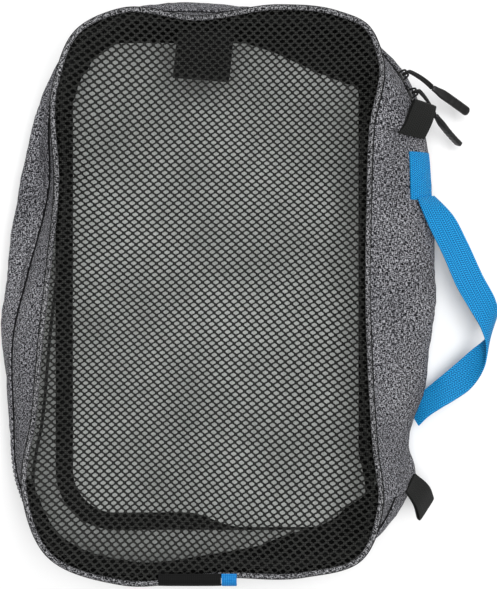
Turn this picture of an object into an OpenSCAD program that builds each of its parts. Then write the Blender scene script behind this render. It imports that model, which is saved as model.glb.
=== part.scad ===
// Soft packing cube, empty and slumped, lying on its back with the mesh lid up.
// The origin is the centre of the floor's underside. The handle side faces +X.

/* [Floor] */
// Length of the floor between its seams
floor_l = 377; // [360:1:390]
// Width of the floor between its seams
floor_w = 240; // [232:1:248]
// Corner radius of the floor's seam
floor_r = 45; // [35:1:55]
// Thickness of the padded floor panel
floor_t = 3; // [2:0.5:4]
// Width of the tape that binds the floor's seam
binding_w = 12.8; // [10:0.2:16]

/* [Walls] */
// Thickness of the heather wall fabric with its lining
wall_t = 1.4; // [1:0.1:1.6]
// Height of the line where the walls bulge furthest out
fold_z = 32; // [28:1:36]
// Height of the zip line
zip_z = 48; // [46:1:50]

/* [Zip] */
// Radius of the corner that the sliders run round
zip_arc_r = 87; // [86:0.5:88]
// Inward lean of the zip from the vertical
zip_lean = 30; // [25:1:35]
// Half of the gap between the two fabric edges
zip_gap = 4; // [3.8:0.1:4.4]
// Radius of each half of the coil
coil_r = 1; // [0.8:0.1:1.1]
// Angle of the first slider round the corner
slider_a_angle = 32; // [31:0.5:34]
// Angle of the second slider round the corner
slider_b_angle = 22.7; // [22:0.1:23]
// Length of a slider
slider_l = 9.5; // [8:0.5:10]

/* [Lid] */
// Radius of the piping round the lid
piping_r = 1.7; // [1.4:0.1:2]
// Thickness of the mesh panel
mesh_t = 1.2; // [0.8:0.1:1.5]
// Height of the mesh panel's lowest point
mesh_low_z = 58; // [56:1:62]
// Depth of the tape that binds the lid's seam
lid_binding_h = 8; // [6:0.5:9]

/* [Handle] */
// Thickness of the webbing
webbing_t = 1.6; // [1.2:0.1:2]
// Length of a moulded pull grip
grip_l = 37; // [34:1:40]
// Width of a moulded pull grip
grip_w = 6.5; // [5.5:0.5:7]
// Thickness of a moulded pull grip
grip_t = 3.6; // [3:0.2:4]
// Diameter of the cord through a slider
pull_cord_d = 1.6; // [1.4:0.1:1.8]

/* [Hidden] */

// Stations run anticlockwise from the middle of the handle side.
stations = 24;
hinge_start = -2;
hinge_end = 3;
zip_end = stations + hinge_start;
steps = 3;
gap = 0.3;
zip_arc_c = [58, 95];
function zip_arc(a, r = zip_arc_r) = zip_arc_c + r * [cos(a), sin(a)];

// The seam between the lid and the walls
lid_line = [
    [107.5, -75, 74], [105.5, -15, 73], [106, 45, 74], [107.5, 100, 78],
    [113, 146, 82], [103, 167, 84], [84, 176, 83], [45, 181, 80],
    [-10, 174.5, 77], [-62, 178.5, 80], [-90, 164, 83], [-105, 130, 81],
    [-105.5, 60, 76], [-112, 0, 73], [-116.5, -40, 73], [-121, -95, 75],
    [-126.5, -145, 80], [-110, -186, 84], [-62, -205.5, 82], [5, -201.5, 79],
    [62, -200.5, 82], [99, -189, 84], [113, -153, 82], [110, -118, 78]
];
// The furthest line of the walls' bulge
fold_line = [
    [151, -75], [157.5, -15], [156, 45], zip_arc(4, 93),
    zip_arc(27, 92), zip_arc(50, 92), zip_arc(73, 92.5), [45, 191.5],
    [-10, 196.5], [-60, 193], [-107, 165], [-127, 120],
    [-140.5, 60], [-149, 0], [-152, -35], [-146, -95],
    [-140, -148], [-119, -187], [-65, -207], [5, -205],
    [62, -204], [115, -187], [139, -149], [138, -120]
];
// The zip line, and its continuation across the handle side
zip_line = [
    [137, -75], [138, -15], [139, 45], zip_arc(4),
    zip_arc(27), zip_arc(50), zip_arc(73), zip_arc(96),
    [-10, 187], [-60, 184], [-97, 162], [-114, 125],
    [-117, 60], [-132, 0], [-141.5, -40], [-141.5, -95],
    [-137, -147], [-115, -186], [-63, -204], [5, -202],
    [62, -201], [109, -186], [130, -150], [133, -118]
];

function unit(v) = v / norm(v);
function flat(lists) = [for (l = lists) each l];
function hermite(p, q, m, n, u) =
    (2 * u ^ 3 - 3 * u ^ 2 + 1) * p + (u ^ 3 - 2 * u ^ 2 + u) * m
    + (3 * u ^ 2 - 2 * u ^ 3) * q + (u ^ 3 - u ^ 2) * n;
// Slope of a smooth curve at its middle point b, between a and c
function slope(a, b, c) =
    let (d = norm(b - a), e = norm(c - b)) (e * (b - a) / d + d * (c - b) / e) / (d + e);
function at(line, i) = line[(i % len(line) + len(line)) % len(line)];
// Point at t stations along a closed line
function along(line, t) =
    let (i = floor(t), a = at(line, i - 1), b = at(line, i), c = at(line, i + 1), d = at(line, i + 2))
    let (e = norm(c - b)) hermite(b, c, e * slope(a, b, c), e * slope(b, c, d), t - i);
// Level unit vector that points out of the cube, square to a line
function outward(line, t) =
    let (d = along(line, t + 0.01) - along(line, t - 0.01)) unit([d[1], -d[0], 0]);

// Nearest point of the floor's outline, which the wall rises from
function floor_point(p) =
    let (c = [for (k = [0, 1]) max(-1, min(1, p[k] / ([floor_w, floor_l][k] / 2 - floor_r)))])
    let (core = [c[0] * (floor_w / 2 - floor_r), c[1] * (floor_l / 2 - floor_r)])
    let (q = core + floor_r * unit(p - core)) [q[0], q[1], wall_t / 2 + 0.2];
function fold_point(t) = let (p = along(fold_line, t)) [p[0], p[1], fold_z];
function zip_point(t) = let (p = along(zip_line, t)) [p[0], p[1], zip_z];
function lid_point(t) = along(lid_line, t);
// Frame of the zip: up the zip, and out of the zip's face
function zip_up(t) = -sin(zip_lean) * outward(zip_line, t) + [0, 0, cos(zip_lean)];
function zip_out(t) = cos(zip_lean) * outward(zip_line, t) + [0, 0, sin(zip_lean)];

// Wall below the zip, v from 0 at the floor to 2 at the zip's lower fabric edge
function lower_wall(t, v) =
    let (b = floor_point(along(fold_line, t)), f = fold_point(t), z = zip_point(t) - zip_gap * zip_up(t))
    let (h = norm(f - b), k = norm(z - f))
    v < 1 ? hermite(b, f, 1.1 * (f - b), [0, 0, h], v)
          : hermite(f, z, [0, 0, k], 1.2 * k * zip_up(t), v - 1);
// Wall above the zip, v from 0 at the zip's upper fabric edge to 1 at the lid's seam
function upper_wall(t, v) =
    let (z = zip_point(t) + zip_gap * zip_up(t), l = lid_point(t), k = norm(l - z))
    hermite(z, l, 1.2 * k * zip_up(t), 0.9 * (l - z), v);
// Wall on the handle side, v from 0 at the floor to 2 at the lid's seam
function hinge_wall(t, v) =
    let (f = fold_point(t), l = lid_point(t), k = norm(l - f))
    v < 1 ? lower_wall(t, v) : hermite(f, l, [0, 0, 1.3 * k], 0.9 * (l - f), v - 1);

// Solid between neighbouring loops of an even number of points
module loft(loops, closed = false) {
    n = len(loops);
    m = len(loops[0]);
    function cap(a, flip) = [
        for (j = [0:m / 2 - 2])
            let (q = [a + j, a + j + 1, a + m - 2 - j, a + m - 1 - j])
            each flip ? [[q[0], q[1], q[2]], [q[0], q[2], q[3]]] : [[q[2], q[1], q[0]], [q[3], q[2], q[0]]]
    ];
    sides = [
        for (i = [0:(closed ? n - 1 : n - 2)], j = [0:m - 1])
            let (a = i * m, b = (i + 1) % n * m, k = (j + 1) % m)
            each [[a + j, b + k, b + j], [a + j, a + k, b + k]]
    ];
    polyhedron(flat(loops), closed ? sides : concat(sides, cap(0, false), cap((n - 1) * m, true)));
}

// Places along a line, a few steps to each station
function span(from, to) =
    let (n = ceil((to - from) * steps)) [for (i = [0:n]) from + (to - from) * i / n];
// Sheet of fabric whose outer face is face(t, v)
module panel(face, from, to, low, high, rows, thickness = wall_t) {
    function p(t, v) = face(t, v);
    function normal(t, v) =
        unit(cross(p(t + 0.02, v) - p(t - 0.02, v), p(t, v + 0.02) - p(t, v - 0.02)));
    heights = [for (r = [0:rows]) low + (high - low) * r / rows];
    loft([
        for (t = span(from, to)) concat(
            [for (v = heights) p(t, v)],
            [for (r = [rows:-1:0]) p(t, heights[r]) - thickness * normal(t, heights[r])]
        )
    ]);
}
// Profile of [up, out] points swept along the zip
module along_zip(profile, from, to) {
    loft([
        for (t = span(from, to))
            [for (q = profile) zip_point(t) + q[0] * zip_up(t) + q[1] * zip_out(t)]
    ]);
}
// Profile of [outward, up] points swept right round the lid's seam
module round_lid(profile) {
    loft([
        for (i = [0:stations * steps - 1]) let (t = i / steps)
            [for (q = profile) lid_point(t) + q[0] * outward(lid_line, t) + [0, 0, q[1]]]
    ], closed = true);
}
// Strip of webbing between two edges, given as pairs of points
module ribbon(edges, thickness) {
    n = len(edges);
    function run(i) = edges[min(n - 1, i + 1)] - edges[max(0, i - 1)];
    function normal(i) = unit(cross(run(i)[0] + run(i)[1], edges[i][1] - edges[i][0])) * thickness / 2;
    loft([
        for (i = [0:n - 1]) let (a = edges[i][0], b = edges[i][1], h = normal(i)) [b - h, a - h, a + h, b + h]
    ]);
}
// Round tube along a list of points, with its rings square to the run. The run never lies along side
module tube(points, d, sides, side) {
    n = len(points);
    loft([
        for (i = [0:n - 1])
            let (run = unit(points[min(n - 1, i + 1)] - points[max(0, i - 1)]))
            let (x = unit(cross(run, side)), y = cross(run, x))
            [for (k = [sides - 1:-1:0]) points[i] + d / 2 * (cos(360 * k / sides) * x + sin(360 * k / sides) * y)]
    ]);
}
function circle_points(r, sides, at) =
    [for (k = [0:sides - 1]) at + r * [cos(360 * k / sides), sin(360 * k / sides)]];

// Colours
heather = [0.42, 0.42, 0.44];
light_grey = [0.55, 0.56, 0.56];
black = [0.12, 0.12, 0.12];
tape_grey = [0.27, 0.27, 0.29];
melange = [0.36, 0.36, 0.37];
blue = [0.08, 0.55, 0.82];

// Rounded rectangle round the origin, made of exact arcs
module rounded(w, l, r) {
    square([w - 2 * r, l], center = true);
    square([w, l - 2 * r], center = true);
    for (x = [-1, 1], y = [-1, 1]) translate([x * (w / 2 - r), y * (l / 2 - r)]) circle(r, $fn = 64);
}
floor_inset = wall_t + 1.2;
module base_panel() {
    color(light_grey) linear_extrude(floor_t)
        rounded(floor_w - 2 * floor_inset, floor_l - 2 * floor_inset, floor_r - floor_inset);
}
binding_t = 1;
module base_binding() {
    edge = floor_inset + gap;
    color(black) translate([0, 0, floor_t + 0.05]) linear_extrude(binding_t) difference() {
        rounded(floor_w - 2 * edge, floor_l - 2 * edge, floor_r - edge);
        rounded(floor_w - 2 * edge - 2 * binding_w, floor_l - 2 * edge - 2 * binding_w,
            floor_r - edge - binding_w);
    }
}
seam = 0.04;
module lower_gusset() {
    color(heather) panel(function(t, v) lower_wall(t, v), hinge_end + seam, zip_end - seam, 0.04, 2, 6);
}
module upper_gusset() {
    color(heather) panel(function(t, v) upper_wall(t, v), hinge_end + seam, zip_end - seam, 0, 0.92, 4);
}
module hinge_gusset() {
    color(heather) panel(function(t, v) hinge_wall(t, v), hinge_start, hinge_end, 0.04, 1.94, 13);
}

// The tape lies behind the fabric, and the coil behind the tape
tape_out = -wall_t - 0.5;
tape_t = 0.6;
tape_edge = 0.75;
tape_end = 6;
coil_up = tape_edge + coil_r;
coil_out = tape_out - tape_t - coil_r - gap;
zip_margin = 0.06;
module zip_tape(side) {
    color(tape_grey) along_zip(
        side > 0
            ? [[tape_edge, tape_out], [tape_end, tape_out], [tape_end, tape_out - tape_t], [tape_edge, tape_out - tape_t]]
            : [[-tape_end, tape_out], [-tape_edge, tape_out], [-tape_edge, tape_out - tape_t], [-tape_end, tape_out - tape_t]],
        hinge_end + zip_margin, zip_end - zip_margin);
}
module zip_coil(side) {
    ring = circle_points(coil_r, 6, [side * coil_up, coil_out]);
    color(black) along_zip([for (k = [5:-1:0]) ring[k]], hinge_end + 0.3, zip_end - 0.3);
}
module zip_tape_lower() { zip_tape(-1); }
module zip_tape_upper() { zip_tape(1); }
module zip_coil_lower() { zip_coil(-1); }
module zip_coil_upper() { zip_coil(1); }
module zip_end_stops() {
    low = coil_out - coil_r - 0.25;
    high = coil_out + coil_r;
    stop = [[-coil_up - 1.4, high], [-tape_edge, high], [-tape_edge, low], [-coil_up - 1.4, low]];
    color(black) for (t = [hinge_end + 0.14, zip_end - 0.24]) along_zip(stop, t, t + 0.1);
}

// Puts a piece on the zip's corner with +X out of the zip, +Y along it and +Z up it
module on_corner(a) {
    p = zip_arc(a);
    translate([p[0], p[1], zip_z]) rotate([0, 0, a]) rotate([0, -zip_lean, 0]) children();
}
// Extrudes a shape drawn in the zip's [along, up] plane, outward from x
module plate(x, t) {
    translate([x, 0, 0]) rotate([90, 0, 90]) linear_extrude(t) children();
}
slider_play = 0.65;
slider_half_w = zip_gap - 0.6;
slider_plate_t = 1.6;
wedge_half_w = 0.25;
crown_l = 7.2;
crown_w = 1.8;
crown_bar = 1.4;
crown_hole_l = 4.6;
crown_hole_h = 3.3;
slider_face = tape_out + slider_play + slider_plate_t;
bar_out = slider_face + 0.5 + crown_hole_h + crown_bar / 2;
module slider(a) {
    inner_face = coil_out - coil_r - slider_play;
    on_corner(a) {
        plate(tape_out + slider_play, slider_plate_t) difference() {
            square([slider_l, 2 * slider_half_w], center = true);
            for (y = [-1, 1]) translate([slider_l / 2, y * (slider_half_w + 2)]) circle(3, $fn = 48);
        }
        plate(inner_face - 1, 1) square([slider_l, 2 * slider_half_w], center = true);
        plate(inner_face - 0.1, tape_out + slider_play + 0.2 - inner_face)
            square([3, 2 * wedge_half_w], center = true);
        plate(slider_face - 0.1, 0.6) square([crown_l, crown_w], center = true);
        plate(slider_face + 0.4 + crown_hole_h, crown_bar + 0.1) square([crown_l, crown_w], center = true);
        for (y = [-1, 1]) translate([0, y * (crown_l + crown_hole_l) / 4, 0])
            plate(slider_face + 0.3, crown_hole_h + 0.2)
                square([(crown_l - crown_hole_l) / 2, crown_w], center = true);
    }
}
module slider_a() { color(black) slider(slider_a_angle); }
module slider_b() { color(black) slider(slider_b_angle); }

// Pulls: a cord looped round the slider's bar, and a moulded grip where it ends
pull_loop_r = 2.7;
grip_a = [155, 135.5, 38];
grip_b = [157, 116, 39];
grip_a_turn = [0, 26, -28];
grip_b_turn = [0, 38, -40];
grip_off = 1;
function slider_frame(a) = [
    [cos(a) * cos(zip_lean), sin(a) * cos(zip_lean), sin(zip_lean)],
    [-sin(a), cos(a), 0],
    [-cos(a) * sin(zip_lean), -sin(a) * sin(zip_lean), cos(zip_lean)]
];
function bar_centre(a) = let (p = zip_arc(a)) [p[0], p[1], zip_z] + bar_out * slider_frame(a)[0];
module pull_cord(a, grip, across) {
    f = slider_frame(a);
    c = bar_centre(a);
    loop = [for (w = [-130:20:130]) c - pull_loop_r * cos(w) * f[0] + pull_loop_r * sin(w) * f[2]];
    function strand(p, side) =
        let (q = grip + side * across) [for (u = [0.35, 0.7, 1]) (1 - u) * p + u * q + (1 - u) * u * f[0] * 4];
    low = strand(loop[0], 1);
    high = strand(loop[len(loop) - 1], -1);
    color(black) tube(concat([for (k = [2:-1:0]) low[k]], loop, high), pull_cord_d, 8, f[1]);
}
module pull_grip(at, turn, roll) {
    color(black) translate(at) rotate(turn) rotate([roll, 0, 0]) translate([grip_off, 0, -grip_t / 2])
        linear_extrude(grip_t) {
            translate([2, -grip_w / 2]) square([grip_l - grip_w / 2 - 2, grip_w]);
            translate([0, -grip_w / 2 + 1]) square([grip_l / 2, grip_w - 2]);
            translate([grip_l - grip_w / 2, 0]) circle(grip_w / 2, $fn = 48);
        }
}
module pull_cord_a() { pull_cord(slider_a_angle, grip_a, [0.45, 0.85, 0]); }
module pull_cord_b() { pull_cord(slider_b_angle, grip_b, [0, 0, -1]); }
module pull_grip_a() { pull_grip(grip_a, grip_a_turn, 0); }
module pull_grip_b() { pull_grip(grip_b, grip_b_turn, 80); }

// Folded webbing tabs sewn into the seams at the zip's ends, as [inner edge, outer edge]
tab_t = 3;
module zip_tab_top() {
    color(black) ribbon([
        [[131, 103, 67.5], [148.5, 100.5, 54]], [[135, 112, 65.5], [152.5, 109, 53]],
        [[139, 121, 61], [155, 118, 50]]
    ], tab_t);
}
module zip_tab_bottom() {
    color(black) ribbon([
        [[136.5, -153, 52], [146, -141, 38.5]], [[142, -162, 47], [153, -150, 34]],
        [[145, -171, 42], [156.5, -158.5, 30]]
    ], tab_t);
}

// Lid: mesh panel, piping and the tape behind the seam
mesh_centre = [-6, -13];
mesh_inset = piping_r + 0.4;
function mesh_point(t, f) =
    let (l = lid_point(t) - mesh_inset * outward(lid_line, t))
    let (x = mesh_centre[0] + f * (l[0] - mesh_centre[0]), y = mesh_centre[1] + f * (l[1] - mesh_centre[1]))
    [x, y, mesh_low_z + (l[2] - mesh_low_z) * f ^ 2.4];
module lid_mesh() {
    shares = [0.03, 0.3, 0.55, 0.75, 0.9, 1];
    function ring(f, drop) =
        [for (i = [0:stations * steps - 1]) mesh_point(i / steps, f) - [0, 0, drop]];
    color(black) loft(concat(
        [for (k = [0:5]) ring(shares[k], 0)],
        [for (k = [5:-1:0]) ring(shares[k], mesh_t)]
    ));
}
module lid_piping() {
    color(melange) round_lid(circle_points(piping_r, 8, [0, 0]));
}
module lid_binding() {
    top = -mesh_t - 2.6;
    color(black) round_lid([
        [-5.5, top], [-5.5, top - lid_binding_h], [-4.6, top - lid_binding_h], [-4.6, top]
    ]);
}

// Carry handle: webbing sewn to the handle side at both ends
// Edges of the free loop as [upper edge, lower edge], from the top end to the bottom end
handle_edges = [
    [[141, 52, 61.5], [159, 57, 51.5]], [[143, 48, 60.5], [161, 54.5, 51.5]],
    [[150, 35, 56], [168, 44, 51]], [[161, 15, 50], [178, 25, 48]],
    [[172, -8, 45], [190, 1, 44]], [[182, -24, 42], [200, -16, 39]],
    [[189, -36, 43], [203, -25, 33]], [[193, -48, 43], [201, -35, 29]],
    [[193, -59, 41], [196, -44, 28]], [[190, -70, 37], [185, -53, 28]],
    [[184, -80, 32], [176, -61, 27]], [[174, -88, 29], [165, -71, 24]],
    [[162, -95, 29], [156, -80, 18]], [[152, -100, 29.5], [146, -88, 15]]
];
module carry_handle() { color(blue) ribbon(handle_edges, webbing_t); }
// Point off the handle side's outer face by a distance
function off_wall(t, v, d) =
    let (p = hinge_wall(t, v), q = hinge_wall(t + 0.02, v) - p, r = hinge_wall(t, v + 0.02) - p)
    p + d * unit(cross(q, r));
// Strip that follows the handle side between two heights, its outer face off the wall by d
module on_wall(from, to, low, high, d, thickness) {
    panel(function(t, v) off_wall(t, v, d), from, to, low, high, ceil((high - low) * 9), thickness);
}
end_off = webbing_t + gap;
top_end = [2.15, 2.74];
top_heights = [1.19, 1.5];
bottom_end = [-1.15, -0.72];
bottom_heights = [0.42, 0.95];
module handle_end_top() {
    color(blue) on_wall(top_end[0], top_end[1], top_heights[0], top_heights[1], end_off, webbing_t);
}
module handle_end_bottom() {
    color(blue) on_wall(bottom_end[0], bottom_end[1], bottom_heights[0], bottom_heights[1], end_off, webbing_t);
}
patch_t = 0.8;
patch_off = -wall_t - 3 * gap;
module handle_patch_top() { color(black) on_wall(2.1, 2.8, 1.14, 1.55, patch_off, patch_t); }
module handle_patch_bottom() { color(black) on_wall(-1.2, -0.65, 0.4, 0.95, patch_off, patch_t); }
thread_t = 0.5;
module stitch_box(ends, heights) {
    d = end_off + thread_t + 0.15;
    t = [ends[0] + 0.05, ends[1] - 0.05];
    v = [heights[0] + 0.03, heights[1] - 0.03];
    for (k = v) on_wall(t[0] + 0.04, t[1] - 0.04, k - 0.008, k + 0.008, d, thread_t);
    for (k = t) on_wall(k - 0.01, k + 0.01, v[0], v[1], d, thread_t);
}
module handle_stitching() {
    color(blue) {
        stitch_box(top_end, top_heights);
        stitch_box(bottom_end, bottom_heights);
    }
}

// Labels, left blank
label_t = 0.8;
module inner_label() {
    color(black) ribbon([
        [[-24, 167.5, 69], [15, 168.5, 69]], [[-26, 153, 65.5], [13, 152, 65.5]],
        [[-28, 137, 62.5], [11, 134, 62.5]]
    ], label_t);
}
module edge_tag(x0, x1) {
    ribbon([
        for (p = [[-199.5, 83.9], [-203.5, 84.9], [-207.2, 82.5], [-209, 77.5], [-209.4, 73]])
            [[x0, p[0], p[1]], [x1, p[0], p[1]]]
    ], label_t);
}
module edge_label() { color(black) edge_tag(-36, 6); }
module edge_label_end() { color(blue) edge_tag(6.3, 16.5); }

base_panel();
base_binding();
lower_gusset();
hinge_gusset();
upper_gusset();
zip_tape_lower();
zip_tape_upper();
zip_coil_lower();
zip_coil_upper();
zip_end_stops();
slider_a();
slider_b();
pull_cord_a();
pull_cord_b();
pull_grip_a();
pull_grip_b();
zip_tab_top();
zip_tab_bottom();
lid_mesh();
lid_piping();
lid_binding();
carry_handle();
handle_end_top();
handle_end_bottom();
handle_stitching();
handle_patch_top();
handle_patch_bottom();
inner_label();
edge_label();
edge_label_end();
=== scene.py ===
import math

import bmesh
import bpy
import numpy as np
from mathutils import Euler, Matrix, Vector, noise


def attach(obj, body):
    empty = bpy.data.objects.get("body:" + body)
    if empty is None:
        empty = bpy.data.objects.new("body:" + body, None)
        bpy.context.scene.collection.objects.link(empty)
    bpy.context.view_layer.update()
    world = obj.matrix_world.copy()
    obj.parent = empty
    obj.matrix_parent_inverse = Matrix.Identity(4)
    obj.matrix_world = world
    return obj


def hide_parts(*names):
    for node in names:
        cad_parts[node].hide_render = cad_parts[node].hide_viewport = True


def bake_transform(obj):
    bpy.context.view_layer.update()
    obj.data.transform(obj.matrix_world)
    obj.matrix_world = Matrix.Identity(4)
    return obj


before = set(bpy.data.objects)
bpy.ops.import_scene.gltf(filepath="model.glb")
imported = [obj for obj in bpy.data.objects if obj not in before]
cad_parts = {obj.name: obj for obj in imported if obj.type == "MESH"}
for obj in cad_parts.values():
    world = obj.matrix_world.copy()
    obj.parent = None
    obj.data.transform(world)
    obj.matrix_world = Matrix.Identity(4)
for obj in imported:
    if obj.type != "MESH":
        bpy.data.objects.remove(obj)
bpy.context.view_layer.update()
scene = bpy.context.scene
MM = 0.001
UP = np.array([0.0, 0.0, 1.0])


def add_object(name, data):
    o = bpy.data.objects.new(name, data)
    scene.collection.objects.link(o)
    return o


# ---------------------------------------------------------------- camera
camera_data = bpy.data.cameras.new("camera")
camera_data.sensor_fit = "VERTICAL"
camera_data.sensor_height = 36
camera_data.lens = 65.6
camera_data.clip_start = 0.05
camera = add_object("camera", camera_data)
camera.location = (0.0244, -0.0124, 0.803)
scene.camera = camera


# ---------------------------------------------------------------- the part's own lines, in metres
def norm(v):
    return np.linalg.norm(v, axis=-1, keepdims=True)


def unit(v):
    return v / np.maximum(norm(v), 1e-12)


def hermite(p, q, m, n, u):
    u = np.asarray(u)[..., None]
    return (
        (2 * u**3 - 3 * u**2 + 1) * p + (u**3 - 2 * u**2 + u) * m
        + (3 * u**2 - 2 * u**3) * q + (u**3 - u**2) * n
    )


def distances(p):
    """Distance along a path at each of its points."""
    return np.concatenate([[0], np.cumsum(np.linalg.norm(np.diff(p, axis=0), axis=1))])


class Line:
    """Closed smooth curve through points that are one station apart."""

    def __init__(self, points, z=None):
        self.p = np.array([[*q[:2], q[2] if z is None else z] for q in points], float) * MM
        before, after = self.p - np.roll(self.p, 1, 0), np.roll(self.p, -1, 0) - self.p
        d, e = norm(before), norm(after)
        self.slope = (e * before / d + d * after / e) / (d + e)

    def __call__(self, t):
        t = np.asarray(t, float)
        i = np.floor(t).astype(int)
        a, b = i % len(self.p), (i + 1) % len(self.p)
        e = norm(self.p[b] - self.p[a])
        return hermite(self.p[a], self.p[b], e * self.slope[a], e * self.slope[b], t - i)

    def outward(self, t):
        d = self(np.asarray(t) + 0.01) - self(np.asarray(t) - 0.01)
        return unit(np.stack([d[..., 1], -d[..., 0], 0 * d[..., 0]], -1))


ARC_C = (58, 95)
ARC_R = 87


def arc(a, r=ARC_R):
    return [ARC_C[0] + r * math.cos(math.radians(a)), ARC_C[1] + r * math.sin(math.radians(a))]


STATIONS = 24
HINGE_START, HINGE_END = -2, 3
ZIP_END = STATIONS + HINGE_START
FLOOR_L, FLOOR_W, FLOOR_R = 0.377, 0.240, 0.045
WALL_T = 0.0014
FOLD_Z, ZIP_Z = 32, 48
LEAN = math.radians(30)
ZIP_GAP = 0.004

LID = Line([
    (107.5, -75, 74), (105.5, -15, 73), (106, 45, 74), (107.5, 100, 78),
    (113, 146, 82), (103, 167, 84), (84, 176, 83), (45, 181, 80),
    (-10, 174.5, 77), (-62, 178.5, 80), (-90, 164, 83), (-105, 130, 81),
    (-105.5, 60, 76), (-112, 0, 73), (-116.5, -40, 73), (-121, -95, 75),
    (-126.5, -145, 80), (-110, -186, 84), (-62, -205.5, 82), (5, -201.5, 79),
    (62, -200.5, 82), (99, -189, 84), (113, -153, 82), (110, -118, 78),
])
FOLD = Line([
    (151, -75), (157.5, -15), (156, 45), arc(4, 93),
    arc(27, 92), arc(50, 92), arc(73, 92.5), (45, 191.5),
    (-10, 196.5), (-60, 193), (-107, 165), (-127, 120),
    (-140.5, 60), (-149, 0), (-152, -35), (-146, -95),
    (-140, -148), (-119, -187), (-65, -207), (5, -205),
    (62, -204), (115, -187), (139, -149), (138, -120),
], FOLD_Z)
ZIP = Line([
    (137, -75), (138, -15), (139, 45), arc(4),
    arc(27), arc(50), arc(73), arc(96),
    (-10, 187), (-60, 184), (-97, 162), (-114, 125),
    (-117, 60), (-132, 0), (-141.5, -40), (-141.5, -95),
    (-137, -147), (-115, -186), (-63, -204), (5, -202),
    (62, -201), (109, -186), (130, -150), (133, -118),
], ZIP_Z)


def floor_point(p):
    half = np.array([FLOOR_W, FLOOR_L]) / 2
    flat = p[..., :2]
    core = np.clip(flat / (half - FLOOR_R), -1, 1) * (half - FLOOR_R)
    edge = core + FLOOR_R * unit(flat - core)
    return np.concatenate([edge, np.full(edge[..., :1].shape, WALL_T / 2 + 0.0002)], -1)


def zip_up(t):
    return -math.sin(LEAN) * ZIP.outward(t) + math.cos(LEAN) * UP


def zip_out(t):
    return math.cos(LEAN) * ZIP.outward(t) + math.sin(LEAN) * UP


def lower_wall(t, v):
    f = FOLD(t)
    b, z = floor_point(f), ZIP(t) - ZIP_GAP * zip_up(t)
    h, k = norm(f - b), norm(z - f)
    return np.where(
        (v < 1)[..., None],
        hermite(b, f, 1.1 * (f - b), h * UP, v),
        hermite(f, z, k * UP, 1.2 * k * zip_up(t), v - 1),
    )


def upper_wall(t, v):
    z, top = ZIP(t) + ZIP_GAP * zip_up(t), LID(t)
    k = norm(top - z)
    return hermite(z, top, 1.2 * k * zip_up(t), 0.9 * (top - z), v)


def hinge_wall(t, v):
    f, top = FOLD(t), LID(t)
    k = norm(top - f)
    return np.where(
        (v < 1)[..., None], lower_wall(t, v), hermite(f, top, 1.3 * k * UP, 0.9 * (top - f), v - 1)
    )


# ---------------------------------------------------------------- mesh tools
def make_object(name, verts, faces, uv=None, materials=(), face_material=None, sharp=40):
    mesh = bpy.data.meshes.new(name)
    corners = [tuple(v) for v in np.asarray(verts, float)]
    mesh.from_pydata(corners, [], [tuple(int(i) for i in f) for f in faces])
    if uv is not None:
        layer = mesh.uv_layers.new(name="cloth")
        layer.data.foreach_set("uv", np.asarray(uv, np.float32).ravel())
    for m in materials:
        mesh.materials.append(m)
    if face_material is not None:
        mesh.polygons.foreach_set("material_index", np.asarray(face_material, np.int32))
    mesh.shade_smooth()
    mesh.set_sharp_from_angle(angle=math.radians(sharp))
    mesh.update()
    return add_object(name, mesh)


def face_outward(piece):
    """Turns every face of a closed mesh to the outside."""
    bm = bmesh.new()
    bm.from_mesh(piece.data)
    bmesh.ops.recalc_face_normals(bm, faces=bm.faces)
    bm.to_mesh(piece.data)
    bm.free()
    return piece


def loft(name, rings, materials=(), closed=False, side=None, sharp=40):
    """Solid through closed rings of an even number of points.

    side(j) is the number of the material of the strip that starts at point j.
    """
    r = np.asarray(rings, float)
    n, m = r.shape[:2]
    mid = r.mean(1)
    run = distances(mid)
    loop = np.concatenate([r, r[:, :1]], 1)
    round_ = distances(loop[n // 2])
    if closed:
        run = np.append(run, run[-1] + np.linalg.norm(mid[0] - mid[-1]))
    faces, uv, mats = [], [], []
    for i in range(n if closed else n - 1):
        b = (i + 1) % n
        for j in range(m):
            k = (j + 1) % m
            faces.append((i * m + j, i * m + k, b * m + k, b * m + j))
            here, there = run[i], run[i + 1]
            uv += [(here, round_[j]), (here, round_[j + 1]), (there, round_[j + 1]), (there, round_[j])]
            mats.append(side(j) if side else 0)
    if not closed:
        for a, flip in ((0, False), ((n - 1) * m, True)):
            for j in range(m // 2 - 1):
                f = (a + j, a + m - 1 - j, a + m - 2 - j, a + j + 1)
                faces.append(f[::-1] if flip else f)
                u = run[0] if not flip else run[-1]
                uv += [(u, 0), (u, 0), (u, MM), (u, MM)]
                mats.append(side(j) if side else 0)
    flat = r.reshape(-1, 3)
    quad = flat[np.array(faces)]
    centre = flat.mean(0)
    q = [quad[:, k] - centre for k in range(4)]
    volume = sum(np.einsum("ij,ij->i", q[0], np.cross(q[a], q[a + 1])).sum() for a in (1, 2))
    if volume < 0:
        faces = [f[::-1] for f in faces]
        uv = np.array(uv).reshape(-1, 4, 2)[:, ::-1].reshape(-1, 2)
    return make_object(name, flat, faces, uv, materials, mats, sharp)


def slab(name, top, low, materials, **options):
    """Thin solid between two grids of points that face each other."""
    return loft(name, np.concatenate([top, low[:, ::-1]], 1), materials, **options)


def grid_normals(p):
    """Unit normals of a grid of points, pointing out where t runs anticlockwise and v runs up."""
    return unit(np.cross(np.gradient(p, axis=0), np.gradient(p, axis=1)))


def shell(name, p, thickness, materials):
    """Sheet of fabric behind a grid of points: outside in the first material, inside in the second."""
    m = p.shape[1]
    return slab(
        name, p, p - thickness * grid_normals(p), materials,
        side=lambda j: 1 if len(materials) > 1 and m <= j < 2 * m - 1 else 0, sharp=50,
    )


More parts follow.
